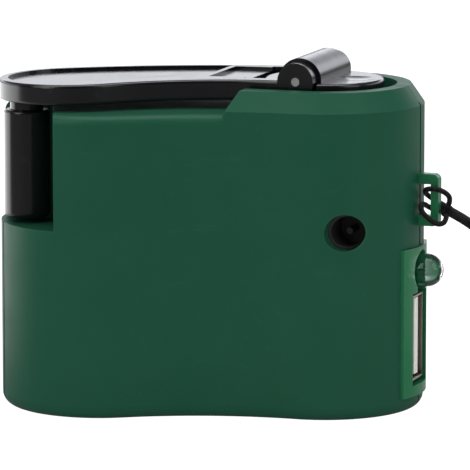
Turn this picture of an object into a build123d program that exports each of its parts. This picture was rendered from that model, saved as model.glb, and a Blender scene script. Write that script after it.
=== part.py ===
from build123d import *
import os
from math import acos, atan2, cos, degrees, pi, radians, sin, sqrt, tan

# Hand crank phone charger. Millimetres, +Z up, +X to the right, +Y to the back.
# The origin is the centre of the flat base. The case is a bent stadium in plan:
# two round lobes joined by arcs, hollow towards the front.

# ---- case ----
LOBE_SPAN = 16.9            # each lobe's centre, from the middle
LOBE_RADIUS = 15.1
LOBE_TURN = 16.5            # degrees that each end turns from the X axis
DECK_TOP = 45.8
RIM_HEIGHT = 3.4            # the turret's rim, above the deck
BEVEL_RISE = 0.5            # the turret's side is upright this far above the deck
RIM_INSET = 2.0             # how far the turret's bevel leans in
WALL = 1.7
BASE_ROUND = 1.9
DECK_ROUND = 1.5
SPLIT_GAP = 0.1             # reveal between the two shells
SEAM_WIDTH = 0.5            # groove along the parting line at both ends
SEAM_DEPTH = 0.35
RECESS_RADIUS = 10.95       # round opening of the turret
RIM_START = -10.6           # foot of the turret's sloping ends, along the lobe's axis
RIM_SLOPE = 1.8             # how far those ends lean
FIT = 0.05                  # clearance of a seated part
RUN = 0.05                  # radial clearance of a running fit

# ---- crank; its heights are measured from the deck ----
PIN_U = -1.6                # hinge pin, from the crank's axis
PIN_RISE = 4.45
PIN_RADIUS = 0.65
HINGE_WIDTH = 18.8
BARREL_HALF = 6.9
BARREL_RADIUS = 3.3
KNUCKLE_RADIUS = 2.8
HUB_RADIUS = 9.0
HUB_GAP = 0.4               # under the hub
HUB_THICK = 3.75
HUB_STEM_RADIUS = 3.0
DISH_U = 4.9                # shallow dish in the hub's top
DISH_DEPTH = 0.25
DISH_CURVE = 18.0
BUSH_WALL = 1.15
BUSH_FLANGE = 0.3
FORK_CLEAR = 0.15           # gap between each fork arm and the barrel
ARM_RISE = 4.6              # the arm's top
ARM_THICK = 3.1
ARM_END_RADIUS = 11.4
ARM_END_INSET = 11.1        # centre of the arm's end, from the case's end
ARM_END_Y = 0.4
ARM_BEND_U = -6.0           # where the arm's sides start to curve
ARM_DROOP = 0.9             # degrees
ARM_ROUND = 0.5
ARM_RIM = 1.4               # width of the rim round the recessed top
ARM_RECESS = 0.5
NOTCH_U = -10.4             # where the fork's notch ends
BRIDGE_U = -17.2            # the rib across the recessed top
BRIDGE_WIDTH = 0.9
KNOB_INSET = 4.2            # the knob's axis, from the case's end
KNOB_Y = -3.25
KNOB_RADIUS = 3.45
KNOB_LENGTH = 16.4
KNOB_DROP = 0.5             # the knob's top, below the deck
KNOB_NECK_RADIUS = 2.5
KNOB_SCREW_RADIUS = 1.0
KNOB_HEAD_RADIUS = 1.8
KNOB_HEAD_HEIGHT = 1.1
POCKET_GAP = 0.45
POCKET_BACK = 1.2           # further room behind the knob
POCKET_CORNER = 1.0
POCKET_UNDER = 0.6          # below the knob
POCKET_WALL = 1.2
POCKET_FLARE = 1.2          # how far the pocket widens towards the front

# ---- gear train: four axes in a zigzag; the module follows from the span ----
IDLER_BACK = 3.369          # how far back the two idlers stand
WHEEL_TEETH = 46
PINION_TEETH = 12
TIP = 0.75                  # tooth height over the pitch circle, in modules
ROOT = 1.0
BACKLASH = 0.08             # taken off each tooth
GEAR_THICK = 1.8
GEAR_STEP = 2.5             # from one level to the next
GEAR_DROP = 5.4             # underside of the drive gear, below the deck
PLATE_THICK = 1.15
PLATE_DROP = 2.0            # underside of the lower plate, below the lowest gear
PLATE_GAP = 0.5             # between the plates' edge and the wall
SHAFT_RADIUS = 1.5
SHAFT_FLAT = 1.1
AXLE_RADIUS = 0.75
PILLAR_RADIUS = 1.5

# ---- generator ----
CAN_RADIUS = 10.0
CAN_BOTTOM = 9.0
CAN_UNDER = 0.4             # between the can and the pocket's floor
CAN_WALL = 0.6
POLES = 6
MAGNET_RADIUS = 5.2
STACK_LOW = 13.5
STACK_HIGH = 22.5
ROTOR_SHAFT_RADIUS = 1.0

# ---- ports, in the right lobe's own axes (u outwards, v to the back) ----
JACK_U = 7.35
JACK_Z = 28.5
JACK_BORE = 2.75
JACK_RADIUS = 3.6
JACK_OPENING = 2.3
BEZEL_LOW = 2.5
BEZEL_HIGH = 25.1
BEZEL_HALF = 5.7
BEZEL_PROUD = 0.45
BEZEL_DEPTH = 1.3
USB_Z = 11.15
USB_HEIGHT = 12.9
USB_DEPTH = 5.7
USB_INSET = 0.3             # the socket's mouth, inside the case's end
USB_LENGTH = 14.0
USB_SHEET = 0.3
LAMP_Z = 21.4
LAMP_RADIUS = 2.5
LAMP_PROUD = 1.2            # centre of the lamp's dome, outside the case's end
LAMP_LENGTH = 6.1           # from the lamp's foot to its dome
LOOP_LOW = 28.2
LOOP_HIGH = 36.1
LOOP_PROUD = 3.1
LOOP_BAR = 1.2
LOOP_WIDTH = 1.6
LOOP_LEG = 1.55
BOARD_V = 2.95
BOARD_THICK = 1.2
BOARD_LOW = 1.85
BOARD_HIGH = 26.2
BOARD_BACK = -8.0           # inner end of the board
BOARD_GAP = 1.2             # between the board's outer end and the wall

# ---- case screws, driven from the back ----
SCREW_RADIUS = 0.9
SCREW_HEAD = 1.7
FRONT_BOSS = 1.9
REAR_BOSS = 2.7

# ---- lanyard ----
STRAND = 0.8                # thickness of the thin loop
CORD = 1.5                  # thickness of the doubled cord
KNOT_PROUD = 4.2
KNOT_Z = 30.7

END = LOBE_SPAN + LOBE_RADIUS
RIM_TOP = DECK_TOP + RIM_HEIGHT
BEVEL_START = DECK_TOP + BEVEL_RISE
PIN_Z = DECK_TOP + PIN_RISE
HUB_BOTTOM = DECK_TOP + HUB_GAP
HUB_TOP = HUB_BOTTOM + HUB_THICK
ARM_TOP = DECK_TOP + ARM_RISE
ARM_END_X = ARM_END_INSET - END
KNOB_X = KNOB_INSET - END
KNOB_TOP = DECK_TOP - KNOB_DROP
KNOB_BOTTOM = KNOB_TOP - KNOB_LENGTH
POCKET_FLOOR = KNOB_BOTTOM - POCKET_UNDER
CAN_TOP = POCKET_FLOOR - POCKET_WALL - CAN_UNDER
USB_FRONT = LOBE_RADIUS - USB_INSET
LAMP_DOME_U = LOBE_RADIUS + LAMP_PROUD
LOOP_OUT = LOBE_RADIUS + LOOP_PROUD
ARC_RADIUS = LOBE_SPAN / sin(radians(LOBE_TURN))
ARC_CENTRE = -ARC_RADIUS * cos(radians(LOBE_TURN))
CENTRES = (sqrt(16 * LOBE_SPAN ** 2 + 12 * IDLER_BACK ** 2) - 2 * LOBE_SPAN) / 3
GEAR_MODULE = 2 * CENTRES / (WHEEL_TEETH + PINION_TEETH)
PITCH_WHEEL = GEAR_MODULE * WHEEL_TEETH / 2
AXIS_X = CENTRES / 2
AXIS_Y = IDLER_BACK
TOP_LEVEL = DECK_TOP - GEAR_DROP
LEVELS = [TOP_LEVEL - GEAR_STEP * n for n in range(3)]
TOP_PLATE = TOP_LEVEL + GEAR_THICK + 0.4
BASE_PLATE = LEVELS[2] - PLATE_DROP
PLATE_HALF = LOBE_RADIUS - WALL - PLATE_GAP
# X and Z of each: two near the base, two under the gearbox's ledge
CASE_SCREWS = [
    (5.5 - END, 5.0),
    (LOBE_SPAN - 10.4, 5.5),
    (-1.5, BASE_PLATE - 3.8),
    (END - 3.6, BASE_PLATE - 4.1),
]
LOBE = Location((LOBE_SPAN, 0, 0), (0, 0, -LOBE_TURN))
BOTTOM = (Align.CENTER, Align.CENTER, Align.MIN)


def lobe_point(u, v, z):
    """A point given in the right lobe's axes, in the part's own frame."""
    turn = radians(LOBE_TURN)
    x = LOBE_SPAN + u * cos(turn) + v * sin(turn)
    y = v * cos(turn) - u * sin(turn)
    return Vector(x, y, z)


def post(radius, low, high, x=0, y=0):
    return Pos(x, y, low) * Cylinder(radius, high - low, align=BOTTOM)


def tube(radius, bore, low, high, x=0, y=0):
    return post(radius, low, high, x, y) - post(bore, low - 1, high + 1, x, y)


def block(x0, x1, y0, y1, z0, z1):
    return Pos((x0 + x1) / 2, (y0 + y1) / 2, (z0 + z1) / 2) * Box(x1 - x0, y1 - y0, z1 - z0)


def rod_v(radius, v0, v1, u, z):
    """A round bar along v, in lobe axes."""
    return Pos(u, (v0 + v1) / 2, z) * Rot(90, 0, 0) * Cylinder(radius, v1 - v0)


def rod_u(radius, u0, u1, v, z):
    """A round bar along u, in lobe axes."""
    return Pos((u0 + u1) / 2, v, z) * Rot(0, 90, 0) * Cylinder(radius, u1 - u0)


def parting_y(x):
    """Where the parting surface lies at a given X."""
    if abs(x) <= LOBE_SPAN:
        return ARC_CENTRE + sqrt(ARC_RADIUS ** 2 - x ** 2)
    return -(abs(x) - LOBE_SPAN) * tan(radians(LOBE_TURN))


# ---- outlines ----

def bean(half, z=0):
    """The bent stadium of a given half width."""
    turn = radians(LOBE_TURN)
    right_back = (LOBE_SPAN + half * sin(turn), half * cos(turn), z)
    right_front = (LOBE_SPAN - half * sin(turn), -half * cos(turn), z)
    left_back = (-right_back[0], right_back[1], z)
    left_front = (-right_front[0], right_front[1], z)
    right_end = (LOBE_SPAN + half * cos(turn), -half * sin(turn), z)
    left_end = (-right_end[0], right_end[1], z)
    edges = [
        ThreePointArc(left_back, (0, ARC_CENTRE + ARC_RADIUS + half, z), right_back),
        ThreePointArc(right_back, right_end, right_front),
        ThreePointArc(right_front, (0, ARC_CENTRE + ARC_RADIUS - half, z), left_front),
        ThreePointArc(left_front, left_end, left_back),
    ]
    return make_face(edges)


def bean_block(half, low, high):
    return extrude(bean(half, low), high - low)


def front_side(shift=0.0):
    """Everything in front of the parting surface, moved back by shift."""
    reach = 60
    slope = reach * tan(radians(LOBE_TURN))
    left = (-LOBE_SPAN - reach, -slope + shift, -5)
    right = (LOBE_SPAN + reach, -slope + shift, -5)
    left_lobe = (-LOBE_SPAN, shift, -5)
    right_lobe = (LOBE_SPAN, shift, -5)
    middle = (0, parting_y(0) + shift, -5)
    edges = [
        Line(left, left_lobe),
        ThreePointArc(left_lobe, middle, right_lobe),
        Line(right_lobe, right),
        Line(right, (right[0], -80, -5)),
        Line((right[0], -80, -5), (left[0], -80, -5)),
        Line((left[0], -80, -5), left),
    ]
    return extrude(make_face(edges), 80)


def gear_outline(teeth, phase, low):
    """Involute teeth with arc flanks; phase is the direction of a tooth, in degrees."""
    pitch = GEAR_MODULE * teeth / 2
    base = pitch * cos(radians(20))
    tip = pitch + TIP * GEAR_MODULE
    root = pitch - ROOT * GEAR_MODULE
    half = (pi * GEAR_MODULE / 2 - BACKLASH) / 2 / pitch

    def involute(radius):
        angle = acos(min(1, base / radius))
        return tan(angle) - angle

    def flank(radius):
        return half + involute(pitch) - involute(max(radius, base))

    def point(radius, angle):
        return (radius * cos(angle), radius * sin(angle), low)

    foot = max(root, base)
    middle = (foot + tip) / 2
    edges = []
    step = 2 * pi / teeth
    for n in range(teeth):
        at = radians(phase) + n * step
        if root < foot:
            edges.append(Line(point(root, at - flank(foot)), point(foot, at - flank(foot))))
        edges.append(
            ThreePointArc(
                point(foot, at - flank(foot)),
                point(middle, at - flank(middle)),
                point(tip, at - flank(tip)),
            )
        )
        edges.append(
            ThreePointArc(
                point(tip, at - flank(tip)), point(tip, at), point(tip, at + flank(tip))
            )
        )
        edges.append(
            ThreePointArc(
                point(tip, at + flank(tip)),
                point(middle, at + flank(middle)),
                point(foot, at + flank(foot)),
            )
        )
        if root < foot:
            edges.append(Line(point(foot, at + flank(foot)), point(root, at + flank(foot))))
        edges.append(
            ThreePointArc(
                point(root, at + flank(foot)),
                point(root, at + step / 2),
                point(root, at + step - flank(foot)),
            )
        )
    return make_face(edges)


def gear(teeth, phase, low, high, x, y):
    return Pos(x, y, 0) * extrude(gear_outline(teeth, phase, low), high - low)


# ---- case ----

def body_block():
    """The outside of the case, solid."""
    body = bean_block(LOBE_RADIUS, 0, DECK_TOP)
    base_edges = body.edges().group_by(Axis.Z)[0]
    body = fillet(base_edges, BASE_ROUND)
    deck_edges = body.edges().group_by(Axis.Z)[-1]
    body = fillet(deck_edges, DECK_ROUND)
    return body + turret()


def turret():
    """The raised rim: the right part of a bevelled block with sloping ends."""
    low = DECK_TOP - DECK_ROUND - 0.5
    straight = bean_block(LOBE_RADIUS, low, BEVEL_START)
    rims = [bean(LOBE_RADIUS, BEVEL_START), bean(LOBE_RADIUS - RIM_INSET, RIM_TOP)]
    bevel = loft(rims, ruled=True)
    profile = Polyline(
        (RIM_START, -40, low),
        (RIM_START, -40, DECK_TOP),
        (RIM_START + RIM_SLOPE, -40, RIM_TOP + 0.01),
        (60, -40, RIM_TOP + 0.01),
        (60, -40, low),
        close=True,
    )
    room = LOBE * extrude(make_face(profile), 80, dir=(0, 1, 0))
    return (straight + bevel) & room


def pocket_outline(spread, z):
    """The knob's pocket in plan, grown by spread; it is open to the front and the left."""
    turn = radians(LOBE_TURN)
    reach = KNOB_RADIUS + POCKET_GAP + spread
    back = Vector(sin(turn), cos(turn), 0)
    out = Vector(-cos(turn), sin(turn), 0)
    knob = Vector(KNOB_X, KNOB_Y, z)
    side = KNOB_X + reach
    behind = knob + back * (reach + POCKET_BACK)
    corner = behind + out * ((side - behind.X) / out.X)
    far = behind + out * 12
    front = Vector(side + POCKET_FLARE, KNOB_Y - 16, z)
    path = FilletPolyline(front, corner, far, radius=POCKET_CORNER + spread)
    close = Polyline(far, Vector(far.X - 6, far.Y, z), Vector(far.X - 6, front.Y, z), front)
    return make_face(path.edges() + close.edges())


def pocket_block(spread, low, high):
    return extrude(pocket_outline(spread, low), high - low)


def screw_boss(x, z, radius, start, end):
    """A boss along Y, from start to end, measured from the parting surface."""
    length = end - start
    return Pos(x, parting_y(x) + start + length / 2, z) * Rot(90, 0, 0) * Cylinder(radius, length)


def screw_bite(x):
    """How far a case screw reaches past the parting surface, inside the front wall."""
    side = max(0, abs(x) - LOBE_SPAN)
    front = -sqrt(LOBE_RADIUS ** 2 - side ** 2)
    return min(6.0, parting_y(x) - front - 1.6)


def screw_seat(x):
    """Where a case screw's head sits, along Y."""
    return parting_y(x) + 4.0


def screw_holes(x, z):
    seat = screw_seat(x)
    end = parting_y(x) - screw_bite(x) - 0.4
    thread = Pos(x, (seat + end) / 2, z) * Rot(90, 0, 0) * Cylinder(SCREW_RADIUS + FIT, seat - end)
    head = Pos(x, seat + 10, z) * Rot(90, 0, 0) * Cylinder(SCREW_HEAD + FIT, 20)
    return thread + head


def case_inside():
    """Bosses, ledges, the generator's cradle and the pocket's walls."""
    floor = WALL
    inside = tube(CAN_RADIUS + 1.2, CAN_RADIUS + FIT, floor, CAN_BOTTOM + 3, -LOBE_SPAN, 0)
    inside += tube(CAN_RADIUS + 1.2, CAN_RADIUS - 1.5, floor, CAN_BOTTOM, -LOBE_SPAN, 0)
    ledge = bean_block(LOBE_RADIUS - WALL + 0.3, BASE_PLATE - 1.2, BASE_PLATE)
    ledge -= bean_block(PLATE_HALF - 1.0, BASE_PLATE - 2, BASE_PLATE + 1)
    inside += ledge
    for x, z in CASE_SCREWS:
        inside += screw_boss(x, z, FRONT_BOSS, -20, 0)
        inside += screw_boss(x, z, REAR_BOSS, -0.6, 20)
    inside += pocket_block(POCKET_WALL, POCKET_FLOOR - POCKET_WALL, DECK_TOP)
    return inside & bean_block(LOBE_RADIUS - 0.3, WALL - 0.5, DECK_TOP - 1)


def port_window(grow):
    """The bezel's outline as a block through the lobe's end, in lobe axes."""
    half = BEZEL_HALF + grow
    return block(8, 30, -half, half, BEZEL_LOW - grow, BEZEL_HIGH + grow)


def bezel_block():
    outer = post(LOBE_RADIUS + BEZEL_PROUD, BEZEL_LOW, BEZEL_HIGH)
    inner = post(LOBE_RADIUS - BEZEL_DEPTH, BEZEL_LOW - 1, BEZEL_HIGH + 1)
    return (outer - inner) & port_window(0)


def loop_legs(grow):
    """The two legs of the lanyard loop, in lobe axes."""
    half = LOOP_WIDTH / 2 + grow
    start = LOBE_RADIUS - 1.1 - grow
    low = block(start, LOOP_OUT - 0.4, -half, half, LOOP_LOW - grow, LOOP_LOW + LOOP_LEG + grow)
    high = block(start, LOOP_OUT - 0.4, -half, half, LOOP_HIGH - LOOP_LEG - grow, LOOP_HIGH + grow)
    return low + high


def case_cuts():
    """Everything that is cut through the case."""
    recess = post(RECESS_RADIUS, DECK_TOP, RIM_TOP + 5)
    recess += block(-60, 0, -RECESS_RADIUS, RECESS_RADIUS, DECK_TOP, RIM_TOP + 5)
    recess += post(HUB_STEM_RADIUS + RUN + BUSH_WALL + FIT, DECK_TOP - 5, DECK_TOP + 1)
    recess += rod_v(JACK_BORE, -30, 0, JACK_U, JACK_Z)
    recess += port_window(FIT) & tube(30, LOBE_RADIUS - BEZEL_DEPTH - FIT, 0, 40)
    recess += block(8, 30, -USB_DEPTH / 2 - 0.5, USB_DEPTH / 2 + 0.5,
                    USB_Z - USB_HEIGHT / 2 - 0.3, USB_Z + USB_HEIGHT / 2 + 0.3)
    recess += rod_u(LAMP_RADIUS + 0.5, 8, 30, 0, LAMP_Z)
    recess += loop_legs(FIT)
    cuts = LOBE * recess
    cuts += pocket_block(0, POCKET_FLOOR, RIM_TOP + 5)
    for x, z in CASE_SCREWS:
        cuts += screw_holes(x, z)
    return cuts


def case_shells():
    case = body_block() - bean_block(LOBE_RADIUS - WALL, WALL, DECK_TOP - WALL)
    case += case_inside()
    case -= case_cuts()
    rind = bean_block(LOBE_RADIUS + 2, -1, RIM_TOP + 5) - bean_block(LOBE_RADIUS - SEAM_DEPTH, -2, RIM_TOP + 6)
    case -= rind & (front_side(SPLIT_GAP + SEAM_WIDTH / 2) - front_side(-SEAM_WIDTH / 2))
    return case & front_side(), case - front_side(SPLIT_GAP)


def port_bezels():
    """The raised surround of the lamp and the USB socket, split like the case."""
    bezel = bezel_block()
    bezel -= block(8, 30, -3.4, 3.4, USB_Z - USB_HEIGHT / 2 - 0.6, USB_Z + USB_HEIGHT / 2 + 0.6)
    bezel -= rod_u(LAMP_RADIUS + 0.55, 8, 30, 0, LAMP_Z)
    bezel -= block(8, 30, -1.9, 1.9, USB_Z, LAMP_Z)
    bezel = LOBE * bezel
    return bezel & front_side(), bezel - front_side(SPLIT_GAP)


def lanyard_loop():
    half = LOOP_WIDTH / 2
    bar = block(LOOP_OUT - LOOP_BAR, LOOP_OUT, -half, half, LOOP_LOW, LOOP_HIGH)
    staple = loop_legs(0) + bar
    outside = staple.edges().filter_by(Axis.Y).group_by(Axis.X)[-1]
    staple = fillet(outside, 0.9)
    return LOBE * staple


def case_screws():
    screws = []
    for x, z in CASE_SCREWS:
        seat = screw_seat(x)
        tip = parting_y(x) - screw_bite(x)
        shank = Pos(x, (seat + tip) / 2, z) * Rot(90, 0, 0) * Cylinder(SCREW_RADIUS, seat - tip)
        head = Pos(x, seat + 0.6, z) * Rot(90, 0, 0) * Cylinder(SCREW_HEAD, 1.2)
        slot_a = Pos(x, seat + 1.2, z) * Box(2.0, 1.2, 0.45)
        slot_b = Pos(x, seat + 1.2, z) * Box(0.45, 1.2, 2.0)
        screws.append(shank + head - slot_a - slot_b)
    return screws


# ---- crank ----

def drive_shaft_flat(low, high):
    """What is cut off the drive shaft to make its flat, grown to a bar."""
    return block(-5, 5, SHAFT_FLAT, 5, low, high)


def crank_hub():
    """The hub disc with the hinge barrel and the stem, in lobe axes."""
    disc = fillet(post(HUB_RADIUS, HUB_BOTTOM, HUB_TOP).edges().group_by(Axis.Z)[-1], 0.5)
    disc -= Pos(DISH_U, 0, HUB_TOP - DISH_DEPTH + DISH_CURVE) * Sphere(DISH_CURVE)
    barrel = rod_v(BARREL_RADIUS, -BARREL_HALF, BARREL_HALF, PIN_U, PIN_Z)
    hub = disc + barrel
    knuckle = KNUCKLE_RADIUS + 0.4
    for side in (-1, 1):
        y0, y1 = sorted((side * (BARREL_HALF + 0.05), side * 15))
        hub -= block(-15, PIN_U + knuckle, y0, y1, PIN_Z - ARM_THICK - 0.3, 60)
    hub += post(HUB_STEM_RADIUS, DECK_TOP - WALL - 0.2, HUB_BOTTOM)
    hub -= rod_v(PIN_RADIUS + RUN, -15, 15, PIN_U, PIN_Z)
    bore = post(SHAFT_RADIUS + 0.02, TOP_LEVEL, HUB_TOP - 1.4)
    hub -= bore - Pos(0, 0.02, 0) * drive_shaft_flat(TOP_LEVEL - 1, HUB_TOP + 1)
    return LOBE * hub


def hinge_pin():
    return LOBE * rod_v(PIN_RADIUS, -HINGE_WIDTH / 2 + 0.1, HINGE_WIDTH / 2 - 0.1, PIN_U, PIN_Z)


def side_arc(start, end, outwards, z):
    """From a side of the arm to the end circle, tangent at both ends."""
    turn = radians(LOBE_TURN)
    front = Vector(-sin(turn), -cos(turn), 0)
    offset_front = front.dot(start - end)
    apart = (start - end).length ** 2 - ARM_END_RADIUS ** 2
    radius = apart / (2 * (outwards * ARM_END_RADIUS - offset_front))
    centre = start + front * radius
    touch = end + (centre - end).normalized() * (outwards * ARM_END_RADIUS)
    bulge = (start - centre).normalized() + (touch - centre).normalized()
    middle = centre + bulge.normalized() * radius
    return ThreePointArc(start, middle, touch), touch


def arm_outline(z):
    """The arm in plan: fork end at the hinge, round end over the left lobe."""
    half = HINGE_WIDTH / 2
    front_hinge = lobe_point(PIN_U, -half, z)
    front_start = lobe_point(ARM_BEND_U, -half, z)
    back_hinge = lobe_point(PIN_U, half, z)
    back_start = lobe_point(ARM_BEND_U, half, z)
    end = Vector(ARM_END_X, ARM_END_Y, z)
    front_arc, front_touch = side_arc(front_start, end, 1, z)
    back_arc, back_touch = side_arc(back_start, end, -1, z)
    edges = [
        Line(front_hinge, front_start),
        front_arc,
        ThreePointArc(front_touch, end + Vector(-ARM_END_RADIUS, 0, 0), back_touch),
        back_arc,
        Line(back_start, back_hinge),
        Line(back_hinge, front_hinge),
    ]
    return make_face(edges)


def crank_arm():
    """The arm, lying over the case, with its fork and its recessed top."""
    low = ARM_TOP - ARM_THICK
    outline = arm_outline(low)
    arm = extrude(outline, ARM_THICK)
    rims = arm.edges().group_by(Axis.Z)
    sides = [e for e in rims[-1] + rims[0] if abs(e.length - HINGE_WIDTH) > 0.1]
    arm = fillet(sides, ARM_ROUND)
    panel = extrude(offset(outline, -ARM_RIM), 20)
    panel = Pos(0, 0, ARM_THICK - ARM_RECESS) * panel
    bridge = LOBE * block(BRIDGE_U, BRIDGE_U + BRIDGE_WIDTH, -20, 20, 0, 80)
    inner = LOBE * block(-60, NOTCH_U + 6, -BARREL_HALF + 0.6, BARREL_HALF - 0.6, 0, 80)
    left = LOBE * block(-80, BRIDGE_U + BRIDGE_WIDTH / 2, -30, 30, 0, 80)
    arm -= (panel & (left + inner)) - bridge
    fork = BARREL_HALF + FORK_CLEAR
    arm -= LOBE * block(NOTCH_U, 20, -fork, fork, 0, 80)
    knuckles = rod_v(KNUCKLE_RADIUS, -HINGE_WIDTH / 2, -fork, PIN_U, PIN_Z)
    knuckles += rod_v(KNUCKLE_RADIUS, fork, HINGE_WIDTH / 2, PIN_U, PIN_Z)
    arm += LOBE * knuckles
    arm -= LOBE * rod_v(PIN_RADIUS + 0.02, -20, 20, PIN_U, PIN_Z)
    pivot = Axis(lobe_point(PIN_U, 0, PIN_Z), (sin(radians(LOBE_TURN)), cos(radians(LOBE_TURN)), 0))
    arm = arm.rotate(pivot, -ARM_DROOP)
    arm += post(KNOB_NECK_RADIUS, KNOB_TOP + 0.1, low, KNOB_X, KNOB_Y)
    arm -= post(KNOB_SCREW_RADIUS + 0.02, 20, low + 1.4, KNOB_X, KNOB_Y)
    return arm


def crank_knob():
    knob = post(KNOB_RADIUS, KNOB_BOTTOM, KNOB_TOP, KNOB_X, KNOB_Y)
    rims = knob.edges().group_by(Axis.Z)
    knob = fillet(rims[0], 0.9)
    knob = fillet(knob.edges().group_by(Axis.Z)[-1], 0.4)
    floor = KNOB_BOTTOM + 0.6 + KNOB_HEAD_HEIGHT + 0.1
    knob -= post(KNOB_HEAD_RADIUS + 0.3, 0, floor, KNOB_X, KNOB_Y)
    knob -= post(KNOB_SCREW_RADIUS + RUN, 0, 60, KNOB_X, KNOB_Y)
    return knob


def knob_screw():
    head = KNOB_BOTTOM + 0.6
    screw = post(KNOB_HEAD_RADIUS, head, head + KNOB_HEAD_HEIGHT, KNOB_X, KNOB_Y)
    top = ARM_TOP - ARM_THICK + 1.3
    screw += post(KNOB_SCREW_RADIUS, head, top, KNOB_X, KNOB_Y)
    screw -= Pos(KNOB_X, KNOB_Y, head) * Box(2.2, 0.5, 1.0)
    screw -= Pos(KNOB_X, KNOB_Y, head) * Box(0.5, 2.2, 1.0)
    return screw


def shaft_bush():
    low = DECK_TOP - WALL - 0.15
    bore = HUB_STEM_RADIUS + RUN
    bush = tube(bore + BUSH_WALL, bore, low, DECK_TOP + BUSH_FLANGE, LOBE_SPAN, 0)
    return bush + tube(bore + BUSH_WALL + 1.0, bore, DECK_TOP, DECK_TOP + BUSH_FLANGE, LOBE_SPAN, 0)


def drive_shaft():
    low = BASE_PLATE - 1.0
    shaft = post(SHAFT_RADIUS, low, HUB_TOP - 1.5)
    shaft -= drive_shaft_flat(TOP_LEVEL - 0.1, TOP_LEVEL + GEAR_THICK + 0.35)
    shaft -= drive_shaft_flat(DECK_TOP - WALL - 0.2, HUB_TOP)
    shaft -= tube(3, SHAFT_RADIUS - 0.4, BASE_PLATE - 0.65, BASE_PLATE - 0.1)
    return LOBE * shaft


def retaining_clip():
    clip = tube(2.7, SHAFT_RADIUS - 0.38, BASE_PLATE - 0.6, BASE_PLATE - 0.15)
    clip -= block(-0.9, 0.9, -4, 0, 0, 60)
    return LOBE * clip


# ---- gear train ----

def direction(x0, y0, x1, y1):
    return degrees(atan2(y1 - y0, x1 - x0))


def drive_gear():
    """The large gear on the drive shaft."""
    phase = direction(LOBE_SPAN, 0, AXIS_X, AXIS_Y)
    low = LEVELS[0]
    wheel = gear(WHEEL_TEETH, phase, low, low + GEAR_THICK, LOBE_SPAN, 0)
    bore = post(SHAFT_RADIUS + 0.02, 0, 60) - Pos(0, 0.02, 0) * drive_shaft_flat(-1, 61)
    wheel += post(3.2, low + GEAR_THICK, low + GEAR_THICK + 0.3, LOBE_SPAN, 0)
    return wheel - LOBE * bore


def idler_gear(level, x, y, back, ahead):
    """A large gear with a pinion on top of it; back and ahead point at its neighbours."""
    low = LEVELS[level]
    top = LEVELS[level - 1] + GEAR_THICK + 0.1
    stack = gear(WHEEL_TEETH, ahead, low, low + GEAR_THICK, x, y)
    phase = back + 180 / PINION_TEETH
    stack += gear(PINION_TEETH, phase, low + GEAR_THICK, top, x, y)
    stack += post(1.6, BASE_PLATE + PLATE_THICK + 0.05, low, x, y)
    if level > 1:
        stack += post(1.6, top, TOP_PLATE - 0.1, x, y)
    return stack - post(AXLE_RADIUS + RUN, 0, 60, x, y)


def idler_gear_1():
    back = direction(AXIS_X, AXIS_Y, LOBE_SPAN, 0)
    return idler_gear(1, AXIS_X, AXIS_Y, back, 180)


def idler_gear_2():
    ahead = direction(-AXIS_X, AXIS_Y, -LOBE_SPAN, 0)
    return idler_gear(2, -AXIS_X, AXIS_Y, 0, ahead)


def generator_pinion():
    back = direction(-LOBE_SPAN, 0, -AXIS_X, AXIS_Y)
    phase = back + 180 / PINION_TEETH
    low = LEVELS[2] - 0.2
    pinion = gear(PINION_TEETH, phase, low, low + GEAR_THICK + 0.4, -LOBE_SPAN, 0)
    return pinion - post(ROTOR_SHAFT_RADIUS + 0.02, 0, 60, -LOBE_SPAN, 0)


def pillar_places():
    """The gearbox's pillars, clear of the gears and inside the plates' outline."""
    ring = PITCH_WHEEL + TIP * GEAR_MODULE + PILLAR_RADIUS + 0.3
    slant = ring / sqrt(2)
    right_back = lobe_point(slant, slant, 0)
    right_front = lobe_point(slant, -slant, 0)
    middle = (0, parting_y(0) - PLATE_HALF + PILLAR_RADIUS + 0.2)
    left = (-LOBE_SPAN - 1.5, 8.5)
    return [(right_back.X, right_back.Y), (right_front.X, right_front.Y), middle, left]


def plate_outline(low, high):
    plate = bean_block(PLATE_HALF, low, high)
    left = KNOB_X + KNOB_RADIUS + POCKET_GAP + POCKET_WALL + POCKET_FLARE + 0.3
    return plate & block(left, 60, -60, 60, 0, 60)


def gearbox_base_plate():
    top = BASE_PLATE + PLATE_THICK
    plate = plate_outline(BASE_PLATE, top)
    for x, y in pillar_places():
        plate += post(PILLAR_RADIUS, top, TOP_PLATE, x, y)
        plate -= post(0.62, top + 1, TOP_PLATE + 1, x, y)
    plate -= post(SHAFT_RADIUS + RUN, 0, 60, LOBE_SPAN, 0)
    plate -= post(ROTOR_SHAFT_RADIUS + RUN, 0, 60, -LOBE_SPAN, 0)
    for x in (AXIS_X, -AXIS_X):
        plate -= post(AXLE_RADIUS + 0.02, 0, 60, x, AXIS_Y)
    return plate


def gearbox_top_plate():
    plate = plate_outline(TOP_PLATE, TOP_PLATE + PLATE_THICK)
    for x, y in pillar_places():
        plate -= post(0.62, 0, 60, x, y)
    plate -= post(SHAFT_RADIUS + RUN, 0, 60, LOBE_SPAN, 0)
    for x in (AXIS_X, -AXIS_X):
        plate -= post(AXLE_RADIUS + 0.02, 0, 60, x, AXIS_Y)
    return plate


def gearbox_screws():
    top = TOP_PLATE + PLATE_THICK
    screws = []
    for x, y in pillar_places():
        screw = post(0.6, top - 5, top, x, y)
        screws.append(screw + post(1.05, top, DECK_TOP - WALL - 0.05, x, y))
    return screws


def idler_axles():
    top = TOP_PLATE + PLATE_THICK
    return [post(AXLE_RADIUS, BASE_PLATE, top, x, AXIS_Y) for x in (AXIS_X, -AXIS_X)]


# ---- generator, built about its own axis ----

def at_generator(shape):
    return Pos(-LOBE_SPAN, 0, 0) * shape


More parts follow.
